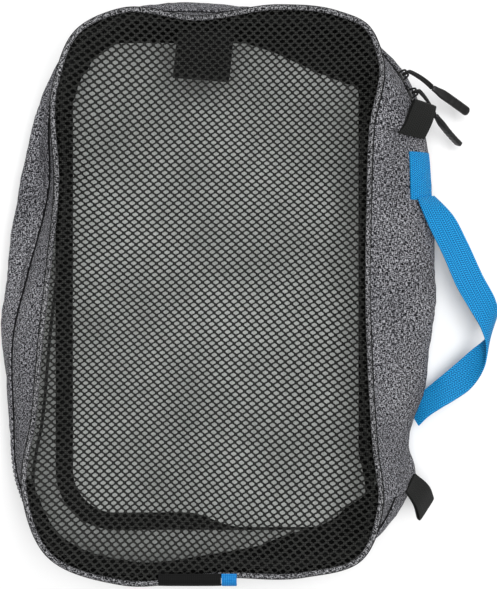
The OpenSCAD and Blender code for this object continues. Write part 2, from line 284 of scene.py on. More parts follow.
def smooth_path(points, count):
    """count points along a smooth open curve through the given ones, each of which may be several points."""
    p = np.asarray(points, float)
    step = np.linalg.norm(np.diff(p.reshape(len(p), -1), axis=0), axis=1)
    s = np.concatenate([[0], np.cumsum(step)])
    slope = np.gradient(p, s, axis=0, edge_order=1)
    at = np.linspace(0, s[-1], count)
    i = np.clip(np.searchsorted(s, at, side="right") - 1, 0, len(s) - 2)
    e = s[i + 1] - s[i]
    u = ((at - s[i]) / e).reshape((-1,) + (1,) * (p.ndim - 2))
    e = e.reshape((-1,) + (1,) * (p.ndim - 1))
    return hermite(p[i], p[i + 1], e * slope[i], e * slope[i + 1], u)


def ribbon(name, edges, thickness, materials, across):
    """Strip of webbing between two edges. edges is a list of (one edge's point, the other's)."""
    e = np.asarray(edges, float)
    run = unit(np.gradient(e.mean(1), axis=0))
    width = e[:, 1] - e[:, 0]
    normal = unit(np.cross(run, width))
    f = np.linspace(0, 1, across)
    thin = thickness / 2 * (1 - 0.35 * (2 * np.abs(f - 0.5)) ** 6)
    line = e[:, :1] + width[:, None] * f[None, :, None]
    rise = thin[None, :, None] * normal[:, None]
    return slab(name, line + rise, line - rise, materials)


def circles(radius, x, y, sides):
    """Ring of points in each plane of the axes x and y."""
    a = np.linspace(0, 2 * math.pi, sides, endpoint=False)
    return radius * (np.cos(a)[None, :, None] * x[:, None] + np.sin(a)[None, :, None] * y[:, None])


def tube_rings(path, radius, sides):
    """Rings of a round tube along a path, without twist."""
    p = np.asarray(path, float)
    run = unit(np.gradient(p, axis=0))
    x = unit(np.cross(run, np.array([0.1, 0.2, 1.0])))
    for i in range(1, len(x)):
        x[i] = x[i - 1] - np.dot(x[i - 1], run[i]) * run[i]
        x[i] /= np.linalg.norm(x[i])
    return p[:, None] + circles(radius, x, np.cross(run, x), sides)


def join(name, objects):
    """One object from several, with their materials."""
    bpy.ops.object.select_all(action="DESELECT")
    for o in objects:
        o.select_set(True)
    bpy.context.view_layer.objects.active = objects[0]
    bpy.ops.object.join()
    objects[0].name = objects[0].data.name = name
    return objects[0]


def place(piece, body, slot, *nodes):
    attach(piece, body)
    if nodes:
        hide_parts(*nodes)
    return piece


# ---------------------------------------------------------------- materials
def srgb(c):
    """Colour from sRGB parts of 0 to 255."""
    parts = [v / 255 for v in c]
    return tuple(x / 12.92 if x <= 0.04045 else ((x + 0.055) / 1.055) ** 2.4 for x in parts) + (1.0,)


class Paint:
    """Small helper that builds one node material."""

    def __init__(self, name, roughness=0.8, specular=0.3):
        self.material = bpy.data.materials.new(name)
        self.material.use_nodes = True
        self.tree = self.material.node_tree
        self.shader = self.tree.nodes["Principled BSDF"]
        self.shader.inputs["Roughness"].default_value = roughness
        self.shader.inputs["Specular IOR Level"].default_value = specular

    def node(self, kind, **settings):
        n = self.tree.nodes.new("ShaderNode" + kind)
        for key, value in settings.items():
            setattr(n, key, value)
        return n

    def link(self, a, b):
        self.tree.links.new(a, b)

    def coordinates(self, scale, uv):
        source = self.node("TexCoord").outputs["UV" if uv else "Object"]
        m = self.node("Mapping")
        m.inputs["Scale"].default_value = scale
        self.link(source, m.inputs["Vector"])
        return m.outputs["Vector"]

    def noise(self, scale, uv=True, detail=2.0, roughness=0.5):
        n = self.node("TexNoise")
        n.inputs["Scale"].default_value = 1.0
        n.inputs["Detail"].default_value = detail
        n.inputs["Roughness"].default_value = roughness
        self.link(self.coordinates(scale, uv), n.inputs["Vector"])
        return n.outputs["Fac"]

    def wave(self, scale, uv=True, direction="X"):
        """Stripes across one direction, scale waves to the metre."""
        n = self.node("TexWave", wave_type="BANDS", bands_direction=direction, wave_profile="SIN")
        n.inputs["Scale"].default_value = math.pi / 10
        self.link(self.coordinates((scale,) * 3, uv), n.inputs["Vector"])
        return n.outputs["Fac"]

    def math(self, op, a, b=0.0):
        n = self.node("Math", operation=op)
        for k, value in enumerate((a, b)):
            if isinstance(value, (int, float)):
                n.inputs[k].default_value = value
            else:
                self.link(value, n.inputs[k])
        return n.outputs[0]

    def plus(self, a, b, weight):
        return self.math("ADD", a, self.math("MULTIPLY", b, weight))

    def swell(self, phase):
        """0 to 1 along a sine."""
        return self.math("ADD", self.math("MULTIPLY", self.math("SINE", phase), 0.5), 0.5)

    def ramp(self, fac, *stops):
        n = self.node("ValToRGB")
        e = n.color_ramp.elements
        while len(e) < len(stops):
            e.new(0.5)
        for k, (at, colour) in enumerate(stops):
            e[k].position = at
            e[k].color = colour if len(colour) == 4 else (*colour, 1)
        self.link(fac, n.inputs["Fac"])
        return n.outputs["Color"]

    def multiply(self, a, b):
        """Product of two colours."""
        n = self.node("Mix", data_type="RGBA", blend_type="MULTIPLY")
        n.inputs[0].default_value = 1.0
        self.link(a, n.inputs[6])
        self.link(b, n.inputs[7])
        return n.outputs[2]

    def colour(self, output):
        self.link(output, self.shader.inputs["Base Color"])
        return self

    def rough(self, fac, low, high):
        n = self.node("MapRange")
        n.inputs["To Min"].default_value = low
        n.inputs["To Max"].default_value = high
        self.link(fac, n.inputs["Value"])
        self.link(n.outputs["Result"], self.shader.inputs["Roughness"])
        return self

    def bump(self, height, distance, strength=1.0):
        n = self.node("Bump")
        n.inputs["Strength"].default_value = strength
        n.inputs["Distance"].default_value = distance
        self.link(height, n.inputs["Height"])
        self.link(n.outputs["Normal"], self.shader.inputs["Normal"])
        return self


def heather(name, dark, mid, light):
    """Two-tone yarns: slubs along the weft and the warp, over a fine plain weave."""
    p = Paint(name, roughness=0.9, specular=0.12)
    weft = p.noise((430, 1800, 1), detail=1, roughness=0.6)
    warp = p.noise((1800, 430, 1), detail=1, roughness=0.6)
    fleck = p.noise((1300, 1300, 1), detail=1, roughness=0.6)
    both = p.plus(p.math("MULTIPLY", weft, 0.42), warp, 0.38)
    both = p.plus(both, fleck, 0.20)
    base = p.ramp(both, (0.437, srgb(dark)), (0.498, srgb(mid)), (0.562, srgb(light)))
    patches = p.noise((18, 26, 1), detail=3)
    broad = p.ramp(patches, (0.3, (0.72, 0.72, 0.73)), (0.7, (1.14, 1.14, 1.14)))
    p.colour(p.multiply(base, broad))
    weave = p.math("MULTIPLY", p.wave(1500, direction="X"), p.wave(1500, direction="Y"))
    p.rough(both, 0.75, 0.95)
    return p.bump(p.plus(weave, both, 2.0), 0.00016, 0.7).material


def woven(name, low, high, ribs, depth=0.00015, rough=(0.65, 0.85), uv=True, specular=0.12):
    """Plain coloured cloth or tape with fine ribs."""
    p = Paint(name, specular=specular)
    rib = p.wave(ribs, uv, direction="X")
    cross = p.wave(ribs * 0.8, uv, direction="Y")
    weave = p.math("MULTIPLY", rib, cross)
    grain = p.noise((600, 600, 600), uv, detail=3)
    fac = p.plus(p.math("MULTIPLY", weave, 0.6), grain, 0.5)
    p.colour(p.ramp(fac, (0.2, srgb(low)), (0.85, srgb(high))))
    p.rough(grain, *rough)
    return p.bump(fac, depth, 0.8).material


WARP_PITCH, RIB_PITCH = 0.0019, 0.0016


def webbing(name, low, mid, high, depth=0.00035):
    """Herringbone webbing: slanting ribs that turn over at each warp group."""
    p = Paint(name, roughness=0.6, specular=0.2)
    split = p.node("SeparateXYZ")
    p.link(p.node("TexCoord").outputs["UV"], split.inputs[0])
    u, v = split.outputs["X"], split.outputs["Y"]
    zigzag = p.math("PINGPONG", v, WARP_PITCH)
    ribs = p.swell(p.math("MULTIPLY", p.plus(u, zigzag, 0.9), 2 * math.pi / RIB_PITCH))
    warp = p.swell(p.math("MULTIPLY", v, 2 * math.pi / WARP_PITCH))
    grain = p.noise((900, 900, 1), detail=3)
    height = p.plus(p.math("MULTIPLY", ribs, 0.75), warp, 0.25)
    fac = p.plus(p.math("MULTIPLY", height, 0.75), grain, 0.35)
    p.colour(p.ramp(fac, (0.15, srgb(low)), (0.5, srgb(mid)), (0.95, srgb(high))))
    p.rough(grain, 0.5, 0.75)
    return p.bump(fac, depth, 0.9).material


def moulded(name, colour, rough, specular=0.25):
    """Smooth plastic, rubber or enamel with a fine grain and slight wear."""
    p = Paint(name, specular=specular)
    grain = p.noise((2500, 2500, 2500), uv=False, detail=4)
    wear = p.noise((300, 300, 300), uv=False, detail=4)
    worn = tuple(min(1.0, c * 1.9 + 0.006) for c in srgb(colour)[:3])
    p.colour(p.ramp(wear, (0.42, srgb(colour)), (0.75, worn)))
    p.rough(wear, *rough)
    return p.bump(grain, 0.00004, 0.6).material


def ripstop(name, low, high):
    """Light cloth with a raised grid, and painted shade in broad patches."""
    p = Paint(name, roughness=0.75, specular=0.15)
    lines = [p.wave(200, uv=False, direction=d) for d in "XY"]
    grid = p.math("POWER", p.math("MAXIMUM", *lines), 14.0)
    cloth = p.noise((700, 700, 200), uv=False, detail=3)
    # The broad noise darkens and lightens the cloth in large patches. This is painted shade for rumples in the
    # cloth, at random places.
    broad = p.noise((14, 14, 14), uv=False, detail=4)
    fac = p.plus(p.math("MULTIPLY", cloth, 0.45), broad, 0.55)
    p.colour(p.ramp(fac, (0.3, srgb(low)), (0.7, srgb(high))))
    return p.bump(p.plus(cloth, grid, 0.5), 0.0001, 0.6).material


HEATHER = heather("heather_cloth", (3, 3, 5), (45, 44, 49), (178, 178, 183))
LINING = ripstop("grey_lining", (176, 179, 177), (222, 224, 222))
BLACK_LINING = woven("black_lining", (12, 12, 12), (24, 24, 23), ribs=900, uv=False)
FLOOR_CLOTH = ripstop("floor_cloth", (172, 175, 173), (238, 240, 238))
BINDING = woven("binding_grosgrain", (9, 9, 9), (24, 24, 23), ribs=650)
TAPE = woven("zip_tape_cloth", (20, 20, 21), (42, 42, 44), ribs=800)
COIL = moulded("coil_nylon", (14, 14, 15), rough=(0.3, 0.45))
METAL = moulded("slider_enamel", (12, 12, 13), rough=(0.28, 0.5), specular=0.3)
CORD = webbing("cord_braid", (10, 10, 10), (20, 20, 20), (46, 46, 46), depth=0.0002)
RUBBER = moulded("grip_rubber", (16, 16, 16), rough=(0.42, 0.62), specular=0.4)
TAB = webbing("tab_webbing", (9, 9, 8), (18, 19, 18), (36, 37, 35), depth=0.0002)
# The net's colours run from black to grey. The black is the yarn's own colour. The grey bits are painted highlights
# on the glossy strands, scattered by the weave and the grain.
NET = woven(
    "net_yarn_painted_highlights", (0, 0, 0), (56, 57, 54), ribs=900, uv=False,
    depth=0.0001, rough=(0.45, 0.6), specular=0.08,
)
PIPING = heather("piping_cloth", (2, 2, 3), (42, 42, 44), (170, 170, 173))
BLUE = webbing("blue_webbing", (0, 40, 84), (2, 116, 184), (44, 178, 236))
BLUE_THREAD = woven("blue_thread", (16, 120, 190), (100, 196, 244), ribs=2200)
GREY_THREAD = woven("grey_thread", (46, 46, 49), (130, 130, 134), ribs=2200)
LABEL = woven("label_weave", (8, 8, 8), (26, 26, 26), ribs=900)
LABEL_BLUE = woven("label_weave_blue", (14, 100, 170), (50, 150, 212), ribs=900)


# ---------------------------------------------------------------- walls
def wave_noise(u, v, scale_u, scale_v, seed):
    flat = np.stack([u / scale_u, v / scale_v], -1).reshape(-1, 2)
    out = np.array([noise.noise(Vector((a, b, seed))) for a, b in flat])
    return out.reshape(u.shape)


def ramp_in(x, low, high):
    w = np.clip((x - low) / (high - low), 0, 1)
    return w * w * (3 - 2 * w)


def crumple(p, v, v_low, v_high, amount, seed):
    """Moves a grid of fabric along its normals: long slack folds and short creases, nothing at its seams."""
    u = np.cumsum(np.linalg.norm(np.diff(p, axis=0, prepend=p[:1]), axis=2), axis=0)
    u = u.mean(1, keepdims=True) + 0 * v
    w = np.cumsum(np.linalg.norm(np.diff(p, axis=1, prepend=p[:, :1]), axis=2), axis=1)
    broad = wave_noise(u + 0.35 * w, w, 0.034, 0.030, seed)
    creases = wave_noise(u - 0.6 * w, w + 0.3 * u, 0.011, 0.024, seed + 7)
    fine = wave_noise(u + 0.9 * w, w, 0.0055, 0.012, seed + 13)
    sharp = 0.35 - np.abs(creases)
    fade = ramp_in(v, v_low, v_low + 0.22) * (1 - ramp_in(v, v_high - 0.22, v_high))
    d = (1.7 * broad + 0.9 * sharp + 0.35 * fine) * MM * amount * fade
    return p + d[..., None] * grid_normals(p)


PER_STATION = 20


def dent(t, v):
    """How far the lower walls are moved out, in metres.

    They are tucked and folded in at the far left, where the empty cube has slumped, and bulge at the near right.
    """
    fold = -5.5 * np.exp(-(((t - 11.3) / 0.6) ** 2) - ((v - 1.55) / 0.17) ** 2)
    tuck = -2.0 * np.exp(-(((t - 10.0) / 0.9) ** 2) - ((v - 1.0) / 0.42) ** 2)
    near = (t - 22.45 + STATIONS / 2) % STATIONS - STATIONS / 2
    bulge = 5.0 * np.exp(-((near / 0.6) ** 2) - ((v - 1.0) / 0.4) ** 2)
    return (fold + tuck + bulge) * MM


# At the near right seam the hinge wall climbs this many times as far above the fold as the lower wall does, over
# the same span of v.
HINGE_RISE = 3.9


def wall(name, face, start, end, low, high, rows, materials, amount, seed, calm=None):
    ts = np.linspace(start, end, int(round((end - start) * PER_STATION)) + 1)
    t, v = np.meshgrid(ts, np.linspace(low, high, rows), indexing="ij")
    p = face(t, v)
    moved = crumple(p, v, low, high, amount, seed)
    if calm is not None:
        moved = p + (moved - p) * calm(t, v)[..., None]
    if face is lower_wall:
        moved = moved + dent(t, v)[..., None] * grid_normals(p)
    if face is hinge_wall:
        same_height = np.where(v > 1, 1 + (v - 1) * HINGE_RISE, v)
        moved = moved + (dent(t, same_height) * calm(t, v))[..., None] * grid_normals(p)
    return shell(name, moved, WALL_T, materials)


def hinge_calm(t, v):
    """Quiet under the sewn ends of the handle."""
    top = np.exp(-(((t - 2.45) / 0.55) ** 2 + ((v - 1.34) / 0.32) ** 2) * 1.2)
    low = np.exp(-(((t + 0.94) / 0.5) ** 2 + ((v - 0.68) / 0.42) ** 2) * 1.2)
    return 1 - np.clip(top + low, 0, 1)


def tab_calm(t, v):
    return ramp_in(np.minimum(t - HINGE_END, ZIP_END - t), 0.05, 0.6)


def turning(piece, y=None, along=0.0):
    """Bakes a piece's placement into its mesh, without bending it. y and along are not used."""
    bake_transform(piece)
    return piece


TOP_SEAM = (0.101, 14.9)
LOW_SEAM = (-0.150, -21.0)
HALFWAY = 15.0

lower = wall("wall_lower", lower_wall, HINGE_END, ZIP_END, 0.0, 2, 36, (HEATHER, LINING), 1.0, 1.0, tab_calm)
place(lower, "base", "heather_fabric", "lower_gusset")

hinge = wall(
    "wall_hinge", hinge_wall, HINGE_START, HINGE_END, 0.0, 1.97, 54, (HEATHER, LINING), 1.0, 5.0, hinge_calm,
)
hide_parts("hinge_gusset")
turning(hinge)

for name, start, end, seam in (
    ("wall_upper_far", HINGE_END, HALFWAY, TOP_SEAM),
    ("wall_upper_near", HALFWAY, ZIP_END, LOW_SEAM),
):
    piece = wall(
        name, upper_wall, start, end, 0, 0.96, 20, (HEATHER, BLACK_LINING), 0.8, 9.0,
        lambda t, v: ramp_in(np.abs(t - HALFWAY), 0, 0.4) * tab_calm(t, v),
    )
    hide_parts("upper_gusset")
    turning(piece, *seam)


# ---------------------------------------------------------------- floor
def outline(inset, count=240):
    """Rounded outline of the floor, that far inside its seam."""
    hw, hl, r = FLOOR_W / 2 - inset, FLOOR_L / 2 - inset, max(FLOOR_R - inset, 0.004)
    points = []
    for k, (sx, sy) in enumerate(((1, 1), (-1, 1), (-1, -1), (1, -1))):
        for a in np.radians(np.linspace(90 * k, 90 * k + 90, 16)):
            points.append((sx * (hw - r) + r * math.cos(a), sy * (hl - r) + r * math.sin(a)))
    p = np.array(points + points[:1])
    s = distances(p)
    at = np.linspace(0, s[-1], count, endpoint=False)
    return np.stack([np.interp(at, s, p[:, 0]), np.interp(at, s, p[:, 1])], -1)


def floor_height(x, y):
    """Top of the padded floor: soft and slightly uneven, and thin where it is sewn."""
    broad = wave_noise(x, y, 0.055, 0.07, 21.0) * 1.1 + wave_noise(x + y, y - x, 0.03, 0.09, 25.0) * 0.5
    return 0.0030 + np.clip(broad, -0.6, 0.9) * MM


FLOOR_INSET = 0.0006
shares = np.concatenate([np.linspace(0.02, 0.9, 24), np.linspace(0.93, 1, 6)])
edge = outline(FLOOR_INSET)
top_rings, low_rings = [], []
for f in shares:
    xy = edge * f
    z = floor_height(xy[:, 0], xy[:, 1])
    rim = ramp_in(f, 0.975, 1.0)
    top_rings.append(np.column_stack([xy, z * (1 - 0.45 * rim)]))
    low_rings.append(np.column_stack([xy, np.full(len(xy), 0.0007 * rim)]))
floor_pad = loft("floor_pad", np.array(top_rings + low_rings[::-1]), (FLOOR_CLOTH, HEATHER), sharp=60)
index = [int(f.normal.z < -0.3) for f in floor_pad.data.polygons]
floor_pad.data.polygons.foreach_set("material_index", index)
place(floor_pad, "base", "floor_fabric", "base_panel")

BIND_W, BIND_IN, BIND_T = 0.0128, 0.0009, 0.0009
edges_out, edges_in = outline(BIND_IN, 360), outline(BIND_IN + BIND_W, 360)
tucked = ramp_in(edges_out[:, 0], -0.035, 0.02) * ramp_in(-edges_out[:, 1], 0.15, 0.17)
edges_in += (edges_out - edges_in) * (0.85 * tucked)[:, None]
across = np.linspace(0, 1, 9)
ring = edges_out[:, None] + (edges_in - edges_out)[:, None] * across[None, :, None]
height = floor_height(ring[..., 0], ring[..., 1]) + 0.0011
unevenness = wave_noise(ring[..., 0], ring[..., 1], 0.012, 0.012, 31.0)
height += 0.00025 * np.sin(across * math.pi)[None] + 0.00035 * unevenness
tape_top = np.concatenate([ring, height[..., None]], -1)
binding = slab("floor_binding", tape_top, tape_top - np.array([0, 0, BIND_T]), (BINDING,), closed=True)
place(binding, "base", "binding_tape", "base_binding")


def shade_sheet(name, stations):
    """Black sheet inside the wall below the zip, laid over the wall and the floor's edge where they lie in shade:
    painted shade.

    Its free edge is given at stations as how far up the wall it ends, and how far it stands in over the floor
    there, in millimetres.
    """
    at, low, reach = np.array(stations).T
    ts = np.linspace(at[0], at[-1], int((at[-1] - at[0]) * 16))
    tt, ss = np.meshgrid(ts, np.linspace(1, 0, 22), indexing="ij")
    v = 1.97 + (np.interp(tt, at, low) - 1.97) * ss
    p = lower_wall(tt, v)
    p = p + (dent(tt, v) - WALL_T - 0.0009)[..., None] * grid_normals(p)
    inward = np.interp(tt, at, reach) * MM * ss**2.2
    p = p - inward[..., None] * FOLD.outward(tt)
    folds = wave_noise(tt * 0.9, ss * 0.4, 1, 1, 51.0) * 1.4 * MM * ss * (inward > 0.002)
    p[..., 2] = np.maximum(p[..., 2], 0.0056) + np.abs(folds)
    piece = shell(name, p, 0.0006, (BLACK_LINING,))
    return place(piece, "base", "binding_tape", "base_binding")


shade_sheet("shade_sheet_far", [
    (3.1, 1.7, 0), (3.6, 0.5, 1), (4, 0.15, 4), (4.5, 0.12, 15), (5, 0.12, 25), (5.5, 0.12, 32),
    (6, 0.12, 34), (6.5, 0.12, 27), (7, 0.12, 18.6), (7.5, 0.12, 11), (8, 0.12, 6.5), (8.5, 0.12, 7), (9, 0.12, 9.5),
    (9.5, 0.12, 14), (10, 0.12, 19), (10.6, 0.12, 14), (11.1, 0.15, 3), (11.5, 0.8, 0), (11.8, 1.7, 0),
])
shade_sheet("shade_sheet_near", [
    (15, 1.85, 0), (15.6, 0.9, 0), (16.3, 0.6, 0), (17, 0.7, 0), (17.6, 0.9, 0), (18.3, 0.95, 0),
    (19, 0.7, 0), (19.5, 0.45, 0), (19.8, 0.2, 0), (20.1, 0.15, 2), (20.5, 0.15, 7), (20.9, 0.15, 11),
    (21.3, 0.15, 8), (21.7, 0.15, 2), (21.93, 0.15, 0),
])

# ---------------------------------------------------------------- zip
TAPE_OUT, TAPE_T, TAPE_EDGE, TAPE_END = -0.0019, 0.0006, 0.00012, 0.006
COIL_UP, COIL_OUT = 0.00088, -0.0038
COIL_R, COIL_WIRE = 0.00068, 0.00027
COIL_PITCH = 0.0016


def along_zip(t, up, out):
    rise, reach = zip_up(t)[:, None], zip_out(t)[:, None]
    return ZIP(t)[:, None] + up[None, :, None] * rise + out[None, :, None] * reach


def zip_tape(name, side, start, end):
    t = np.linspace(start, end, int((end - start) * PER_STATION * 1.5) + 1)
    f = np.linspace(TAPE_EDGE, TAPE_END, 7)
    out = TAPE_OUT - 0.00012 * np.cos((f - TAPE_EDGE) / (TAPE_END - TAPE_EDGE) * math.pi)
    up = np.concatenate([f, f[::-1]]) * side
    return loft(name, along_zip(t, up, np.concatenate([out, out[::-1] - TAPE_T])), (TAPE,))


def zip_coil(name, side, start, end):
    t = np.linspace(start, end, 4000)
    length = distances(ZIP(t))
    points = 8
    s = np.linspace(0, length[-1], int(length[-1] / COIL_PITCH * points))
    at = np.interp(s, length, t)
    a = 2 * math.pi * np.arange(len(s)) / points
    up = side * (COIL_UP + COIL_R * np.cos(a))
    out = COIL_OUT + COIL_R * np.sin(a)
    path = ZIP(at) + up[:, None] * zip_up(at) + out[:, None] * zip_out(at)
    return loft(name, tube_rings(path, COIL_WIRE, 5), (COIL,))


T0, T1 = HINGE_END + 0.06, ZIP_END - 0.06
place(zip_tape("tape_lower", -1, T0, T1), "base", "zip_tape", "zip_tape_lower")
place(zip_coil("coil_lower", -1, T0 + 0.24, T1 - 0.24), "base", "zip_coil", "zip_coil_lower")
for name, maker, start, end, seam, node, slot in (
    ("tape_upper_far", zip_tape, T0, HALFWAY, TOP_SEAM, "zip_tape_upper", "zip_tape"),
    ("tape_upper_near", zip_tape, HALFWAY, T1, LOW_SEAM, "zip_tape_upper", "zip_tape"),
    ("coil_upper_far", zip_coil, T0 + 0.24, HALFWAY, TOP_SEAM, "zip_coil_upper", "zip_coil"),
    ("coil_upper_near", zip_coil, HALFWAY, T1 - 0.24, LOW_SEAM, "zip_coil_upper", "zip_coil"),
):
    piece = maker(name, 1, start, end)
    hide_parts(node)
    turning(piece, *seam)


def slider_frame(a):
    """Axes out of the zip, along it and up it, at an angle round the corner, and the point on the zip."""
    c, s = math.cos(math.radians(a)), math.sin(math.radians(a))
    out = np.array([c * math.cos(LEAN), s * math.cos(LEAN), math.sin(LEAN)])
    along = np.array([-s, c, 0.0])
    up = np.array([-c * math.sin(LEAN), -s * math.sin(LEAN), math.cos(LEAN)])
    return out, along, up, np.array([*arc(a), ZIP_Z]) * MM


def in_frame(a, points):
    out, along, up, origin = slider_frame(a)
    p = np.asarray(points, float) * MM
    return origin + p[..., :1] * out + p[..., 1:2] * along + p[..., 2:3] * up


def squared(x, power):
    """Power that keeps the sign: below 1 it squares off a round outline."""
    return np.sign(x) * abs(x) ** power


def rounded_outline(points, r, n=5):
    """Corners of a polygon, rounded."""
    p = np.asarray(points, float)
    out = []
    for k in range(len(p)):
        a, b, c = p[k - 1], p[k], p[(k + 1) % len(p)]
        da, dc = (a - b) / np.linalg.norm(a - b), (c - b) / np.linalg.norm(c - b)
        for u in np.linspace(0, 1, n):
            out.append((1 - u) ** 2 * (b + r * da) + 2 * u * (1 - u) * b + u**2 * (b + r * dc))
    return np.array(out)


def plate(name, a, shape, x0, x1, bevel, material):
    """Plate with bevelled rims, from an outline in the zip's (along, up) plane, in millimetres."""
    centre = shape.mean(0)
    rings = []
    for x, s in ((x0, bevel), (x0 + bevel, 0), (x1 - bevel, 0), (x1, bevel)):
        pulled = shape - np.array([(p - centre) / max(np.linalg.norm(p - centre), 1e-6) * s for p in shape])
        rings.append(np.column_stack([np.full(len(shape), x), pulled]))
    return cap_loft(name, in_frame(a, rings), material)


def cap_loft(name, rings, material):
    """Solid with one flat face at each end, for outlines of any shape."""
    r = np.asarray(rings, float)
    n, m = r.shape[:2]
    grid = np.arange(n * m).reshape(n, m)
    after = np.roll(grid, -1, axis=1)
    sides = np.stack([grid[:-1], after[:-1], after[1:], grid[1:]], -1).reshape(-1, 4)
    faces = [*sides, grid[0][::-1], grid[-1]]
    return face_outward(make_object(name, r.reshape(-1, 3), faces, materials=(material,), sharp=35))


SLIDER_L, SLIDER_HALF = 9.5, 3.4
PLATE_IN, PLATE_OUT = -1.25, 0.35
BACK_OUT, BACK_IN = -5.45, -6.45
BAR_OUT = PLATE_OUT + 4.5


def slider(name, a, body):
    half = SLIDER_L / 2
    front, back = (
        rounded_outline([
            (-half, -SLIDER_HALF + heel), (half * waist, -SLIDER_HALF), (half, -nose), (half, nose),
            (half * waist, SLIDER_HALF), (-half, SLIDER_HALF - heel),
        ], 0.8)
        for heel, waist, nose in ((0.5, 0.35, 1.1), (0.3, 0.5, 1.6))
    )
    wedge = rounded_outline([(-1.5, -0.24), (1.5, -0.24), (1.5, 0.24), (-1.5, 0.24)], 0.15, 3)
    raised = rounded_outline([(-3.6, -1.25), (3.0, -1.25), (3.0, 1.25), (-3.6, 1.25)], 0.6)
    parts = [
        plate("front", a, front, PLATE_IN, PLATE_OUT, 0.35, METAL),
        plate("back", a, back, BACK_IN, BACK_OUT, 0.25, METAL),
        plate("wedge", a, wedge, BACK_OUT - 0.2, PLATE_IN + 0.2, 0.05, METAL),
        plate("raised", a, raised, PLATE_OUT - 0.2, PLATE_OUT + 0.42, 0.2, METAL),
    ]
    # The crown is an arch from end to end, widest at its feet.
    path, widths = [], []
    for k in range(25):
        s = math.pi * k / 24
        y = 3.0 * math.cos(s)
        x = PLATE_OUT + 0.2 + (BAR_OUT - PLATE_OUT - 0.2) * min(1.0, math.sin(s) * 1.35) ** 0.75
        path.append((x, y, 0))
        widths.append(0.95 + 0.35 * abs(math.cos(s)) ** 3)
    path = np.array(path)
    run = unit(np.gradient(path, axis=0))
    side = np.cross(run, [0, 0, 1])
    rings = []
    for p, d, w in zip(path, side, widths):
        ring = []
        for q in np.linspace(0, 2 * math.pi, 12, endpoint=False):
            c, s = math.cos(q), math.sin(q)
            ring.append(p + 0.68 * squared(c, 0.7) * d + np.array([0, 0, w * squared(s, 0.7)]))
        rings.append(ring)
    parts.append(loft("crown", in_frame(a, rings), (METAL,)))
    return place(join(name, parts), body, "black_metal", body)


ANGLE_A, ANGLE_B = 32, 22.7
slider("slider_body_a", ANGLE_A, "slider_a")
slider("slider_body_b", ANGLE_B, "slider_b")

LOOP_R, CORD_D = 0.0027, 0.002


def pull_cord(name, a, grip, across, body, node):
    out, along, up, origin = slider_frame(a)
    c = origin + BAR_OUT * MM * out
    grip, across = np.array(grip) * MM, np.array(across) * MM
    w = np.radians(np.arange(-130, 131, 5))[:, None]
    loop = c - LOOP_R * np.cos(w) * out + LOOP_R * np.sin(w) * up

    def strand(p, side):
        q = grip + side * across
        u = np.linspace(0.08, 1, 16)[:, None]
        return (1 - u) * p + u * q + (1 - u) * u * out * 4 * MM

    path = np.concatenate([strand(loop[0], 1)[::-1], loop, strand(loop[-1], -1)])
    for _ in range(6):
        path[1:-1] = 0.25 * path[:-2] + 0.5 * path[1:-1] + 0.25 * path[2:]
    piece = loft(name, tube_rings(path, CORD_D / 2, 10), (CORD,))
    return place(piece, body, "pull_cord", node)


GRIP_A, GRIP_B = (155, 135.5, 38), (157, 116, 39)
pull_cord("cord_a", ANGLE_A, GRIP_A, (0.45, 0.85, 0), "pull_a", "pull_cord_a")
pull_cord("cord_b", ANGLE_B, GRIP_B, (0, 0, -1), "pull_b", "pull_cord_b")


def rotation(x, y, z):
    """Rotation about X, then Y, then Z, in degrees."""
    return np.array(Euler([math.radians(v) for v in (x, y, z)], "XYZ").to_matrix())


GRIP_L, GRIP_W, GRIP_T = 37.0, 6.5, 3.6
NECK_W, NECK_T = 4.2, 2.9
BEND = 0.9


def pull_grip(name, at, turn, roll, body, node):
    """Moulded grip, grooved across its middle, from the cord's neck to a rounded tip."""
    stations = np.linspace(0.0, 0.12, 5), np.linspace(0.16, 0.93, 30), np.linspace(0.945, 1, 8)
    rings = []
    for s in np.concatenate(stations):
        neck = ramp_in(s, 0.06, 0.3)
        tip = math.sqrt(max(0.0, 1 - ((s - 0.93) / 0.07) ** 2)) if s > 0.93 else 1.0
        root = math.sqrt(max(0.05, 1 - ((0.05 - s) / 0.05) ** 2)) if s < 0.05 else 1.0
        half_w = (NECK_W + (GRIP_W - NECK_W) * neck) / 2 * max(tip, 0.08) * root
        half_t = (NECK_T + (GRIP_T - NECK_T) * neck) / 2 * max(tip, 0.2) ** 0.5 * root
        groove = 0.26 * max(0.0, math.sin((s - 0.45) * 60)) ** 2 if 0.45 < s < 0.87 else 0.0
        ring = []
        for q in np.linspace(0, 2 * math.pi, 28, endpoint=False):
            c, d = math.cos(q), math.sin(q)
            y = half_w * squared(c, 0.55)
            z = half_t * squared(d, 0.55)
            z -= np.sign(z) * groove * (abs(c) < 0.82)
            ring.append((0.3 + s * (GRIP_L - 0.3), y, z + BEND * math.sin(s * math.pi)))
        rings.append(ring)
    turned = np.array(rings) @ rotation(roll, 0, 0).T @ rotation(*turn).T
    piece = loft(name, (turned + np.array(at)) * MM, (RUBBER,), sharp=50)
    return place(piece, body, "pull_grip", node)


pull_grip("grip_a", GRIP_A, (0, 26, -28), 0, "pull_a", "pull_grip_a")
pull_grip("grip_b", GRIP_B, (0, 38, -40), 80, "pull_b", "pull_grip_b")

# End stops: small crimped blocks at both ends of the lower coil
stops = []
shape = rounded_outline([(-3.0, -5.0), (-0.75, -5.0), (-0.75, -2.9), (-3.0, -2.9)], 0.35, 4)
for k, t in enumerate((HINGE_END + 0.19, ZIP_END - 0.19)):
    base, up_, out_ = ZIP(t), zip_up(t), zip_out(t)
    run = unit(np.cross(out_, up_))
    rings = []
    for s, pull in ((-2.4, 0.25), (-2.1, 0), (2.1, 0), (2.4, 0.25)):
        ring = shape + (shape.mean(0) - shape) * pull
        rings.append([base + MM * (q[0] * up_ + q[1] * out_ + s * run) for q in ring])
    stops.append(cap_loft(f"stop_{k}", rings, METAL))
place(join("end_stops", stops), "base", "zip_coil", "zip_end_stops")


